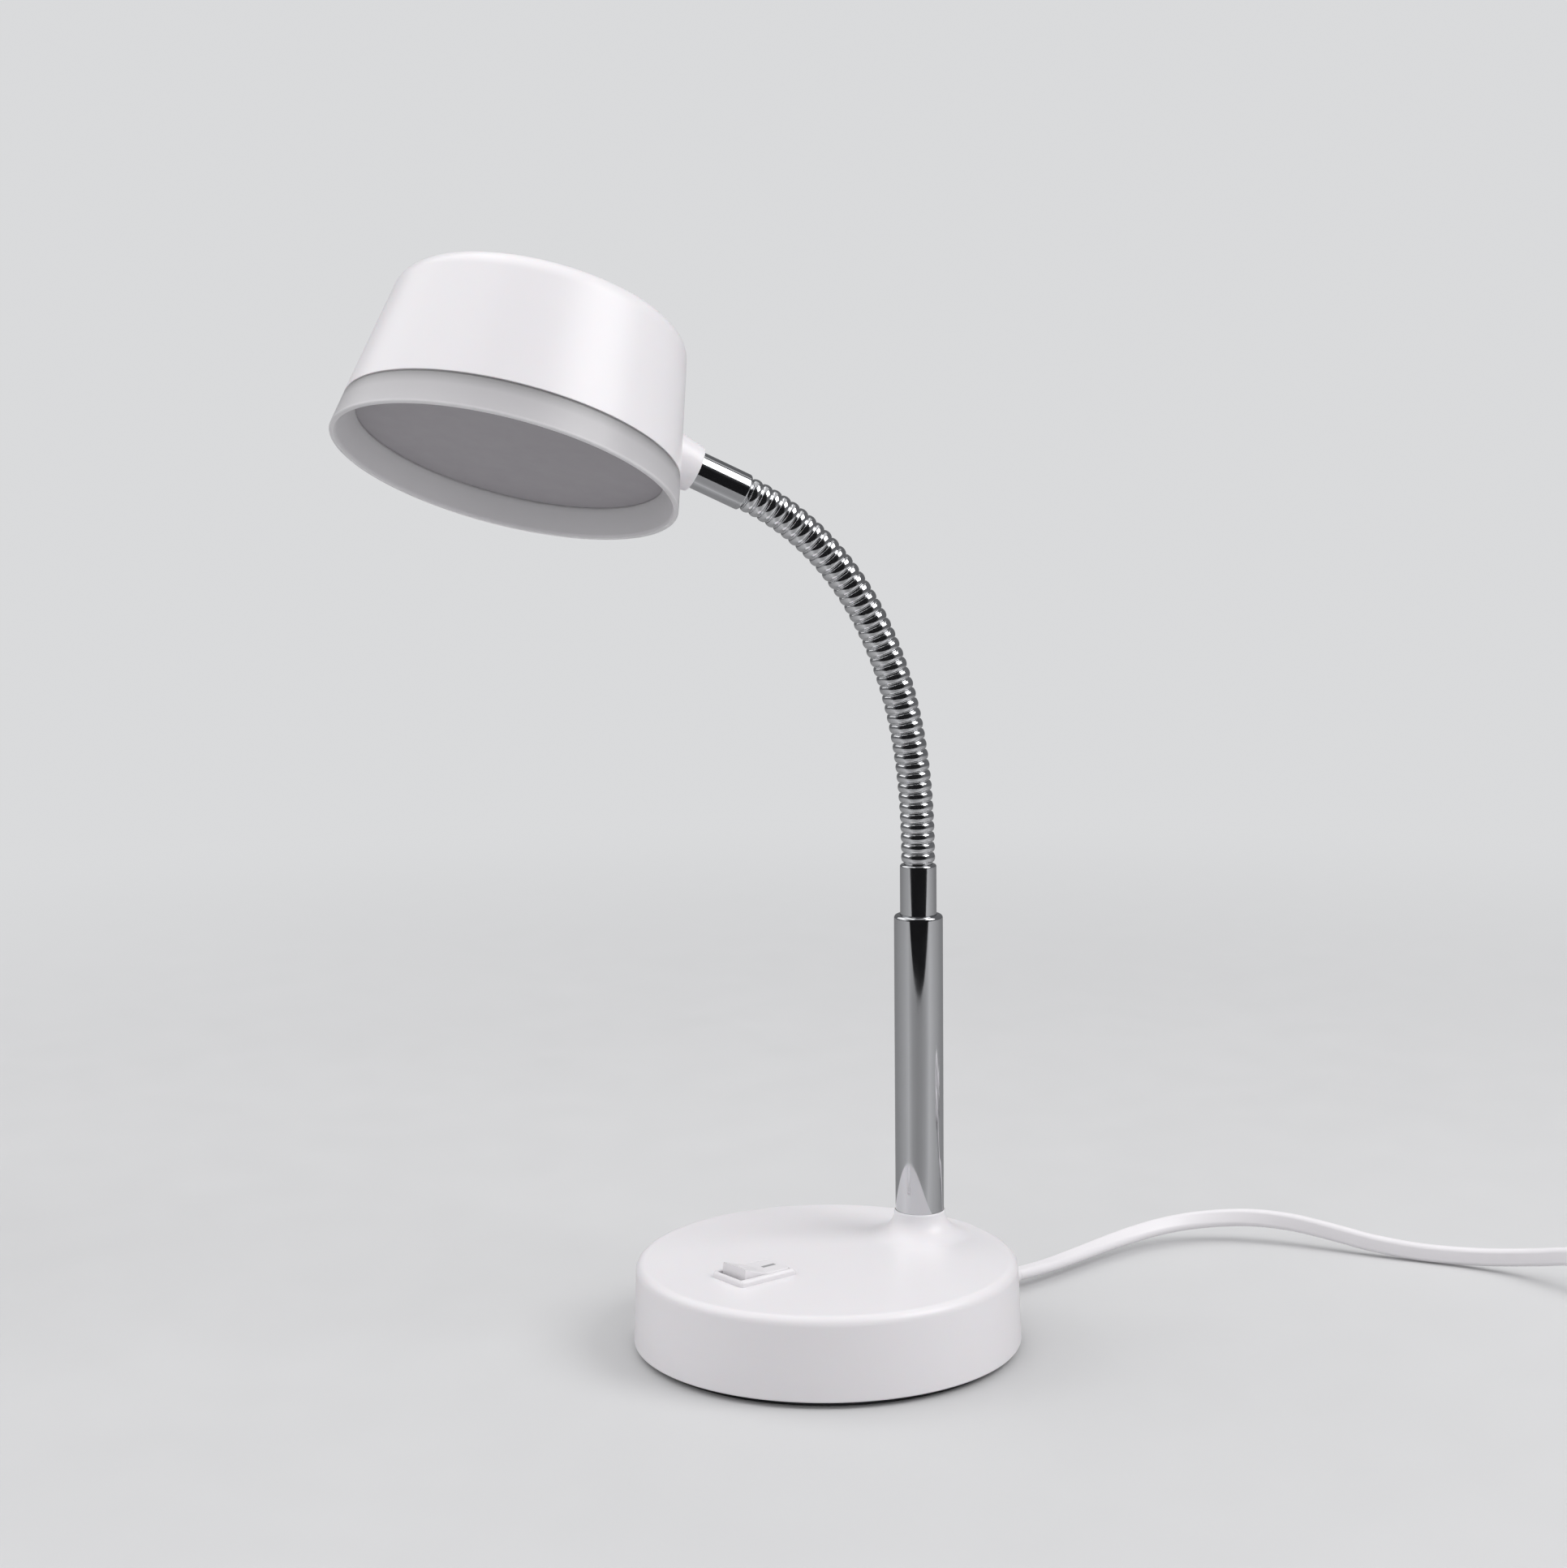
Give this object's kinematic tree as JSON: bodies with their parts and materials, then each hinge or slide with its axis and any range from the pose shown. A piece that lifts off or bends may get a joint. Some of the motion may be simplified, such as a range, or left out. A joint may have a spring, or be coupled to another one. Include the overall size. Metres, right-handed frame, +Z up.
{
  "type": "gooseneck desk lamp",
  "caption": "White desk lamp: round weighted base with a rocker switch, chrome post, bendable ribbed chrome gooseneck, round head with a frosted diffuser, flat cord and plug.",
  "frame": {"origin": "centre of the base's underside, where the foot pad rests on the desk", "axes": "+Z up; the rocker switch is on the -Y side of the base (front), the post and the cord's outlet on the +Y side (back); +X is to the right seen from the front"},
  "size_m": [0.3236, 0.4398, 0.3321],
  "materials": {
    "cover_white": "glossy",
    "switch_white": "satin",
    "cord_white": "satin",
    "chrome": "polished",
    "steel": "zinc plated",
    "iron": "rough",
    "foam": "foam",
    "brass": "polished",
    "board_green": "satin",
    "board_white": "matte",
    "tape_yellow": "satin",
    "capacitor_black": "satin",
    "lead_brown": "satin",
    "chip_yellow": "satin",
    "alloy": "satin",
    "frosted": "frosted",
    "diffuser": "frosted"
  },
  "bodies": {
    "base": {"base_cover": "cover_white", "base_plate": "steel", "ballast_weight": "iron", "foot_pad": "foam", "base_screws": "steel", "switch_body": "switch_white", "switch_terminals": "brass", "driver_board": "board_green", "driver_transformer": "tape_yellow", "driver_capacitors": "capacitor_black", "base_leads": "lead_brown", "strain_relief": "cord_white", "cord_clamp": "switch_white", "clamp_screws": "steel", "post_tube": "chrome", "post_nipple": "steel", "post_washer": "steel", "post_nut": "brass", "lower_ferrule": "chrome", "neck_link_01": "chrome", "cord": "cord_white", "cord_coil": "cord_white", "cord_tail": "cord_white", "plug_body": "cord_white", "plug_pins": "brass"},
    "rocker": {"switch_rocker": "switch_white"},
    "neck_02": {"neck_link_02": "chrome"},
    "neck_03": {"neck_link_03": "chrome"},
    "neck_04": {"neck_link_04": "chrome"},
    "neck_05": {"neck_link_05": "chrome"},
    "neck_06": {"neck_link_06": "chrome"},
    "neck_07": {"neck_link_07": "chrome"},
    "neck_08": {"neck_link_08": "chrome"},
    "neck_09": {"neck_link_09": "chrome"},
    "neck_10": {"neck_link_10": "chrome"},
    "neck_11": {"neck_link_11": "chrome"},
    "neck_12": {"neck_link_12": "chrome"},
    "neck_13": {"neck_link_13": "chrome"},
    "head": {"neck_link_14": "chrome", "upper_ferrule": "chrome", "head_shell": "cover_white", "head_nipple": "steel", "head_nut": "brass", "heat_sink": "alloy", "led_board": "board_white", "led_chips": "chip_yellow", "head_screws": "steel", "diffuser_disc": "diffuser", "diffuser_ring": "frosted"}
  },
  "joints": [
    {"name": "rocker_tilt", "type": "hinge", "parent": "base", "child": "rocker", "pos_m": [0, -0.0286, 0.02506], "axis": [1, 0, 0], "range_deg": [0, 18]},
    {"name": "neck_pitch_01", "type": "hinge", "parent": "base", "child": "neck_02", "pos_m": [-0.00006, 0.03817, 0.1559], "axis": [0.9171, -0.3987, 0], "range_deg": [-15, 11]},
    {"name": "neck_sway_02", "type": "hinge", "parent": "neck_02", "child": "neck_03", "pos_m": [-0.00025, 0.03773, 0.16549], "axis": [0.3978, 0.9148, 0.0707], "range_deg": [-11, 11]},
    {"name": "neck_pitch_03", "type": "hinge", "parent": "neck_03", "child": "neck_04", "pos_m": [-0.0006, 0.03693, 0.17505], "axis": [0.9171, -0.3987, 0], "range_deg": [-16, 10]},
    {"name": "neck_sway_04", "type": "hinge", "parent": "neck_04", "child": "neck_05", "pos_m": [-0.00114, 0.03568, 0.18455], "axis": [0.3929, 0.9037, 0.1701], "range_deg": [-11, 11]},
    {"name": "neck_pitch_05", "type": "hinge", "parent": "neck_05", "child": "neck_06", "pos_m": [-0.0019, 0.03393, 0.19396], "axis": [0.9171, -0.3987, 0], "range_deg": [-17, 9]},
    {"name": "neck_sway_06", "type": "hinge", "parent": "neck_06", "child": "neck_07", "pos_m": [-0.0029, 0.03163, 0.20322], "axis": [0.3808, 0.8757, 0.2969], "range_deg": [-11, 11]},
    {"name": "neck_pitch_07", "type": "hinge", "parent": "neck_07", "child": "neck_08", "pos_m": [-0.00417, 0.02871, 0.21228], "axis": [0.9171, -0.3987, 0], "range_deg": [-18, 8]},
    {"name": "neck_sway_08", "type": "hinge", "parent": "neck_08", "child": "neck_09", "pos_m": [-0.00573, 0.02513, 0.22105], "axis": [0.3569, 0.8208, 0.446], "range_deg": [-11, 11]},
    {"name": "neck_pitch_09", "type": "hinge", "parent": "neck_09", "child": "neck_10", "pos_m": [-0.00758, 0.02086, 0.22945], "axis": [0.9171, -0.3987, 0], "range_deg": [-18, 7]},
    {"name": "neck_sway_10", "type": "hinge", "parent": "neck_10", "child": "neck_11", "pos_m": [-0.00975, 0.01588, 0.23736], "axis": [0.3166, 0.7282, 0.6079], "range_deg": [-11, 11]},
    {"name": "neck_pitch_11", "type": "hinge", "parent": "neck_11", "child": "neck_12", "pos_m": [-0.01223, 0.01017, 0.24467], "axis": [0.9171, -0.3987, 0], "range_deg": [-19, 7]},
    {"name": "neck_sway_12", "type": "hinge", "parent": "neck_12", "child": "neck_13", "pos_m": [-0.01502, 0.00376, 0.25125], "axis": [0.2556, 0.5879, 0.7675], "range_deg": [-11, 11]},
    {"name": "neck_pitch_13", "type": "hinge", "parent": "neck_13", "child": "head", "pos_m": [-0.01809, -0.00332, 0.25696], "axis": [0.9171, -0.3987, 0], "range_deg": [-20, 6]}
  ]
}
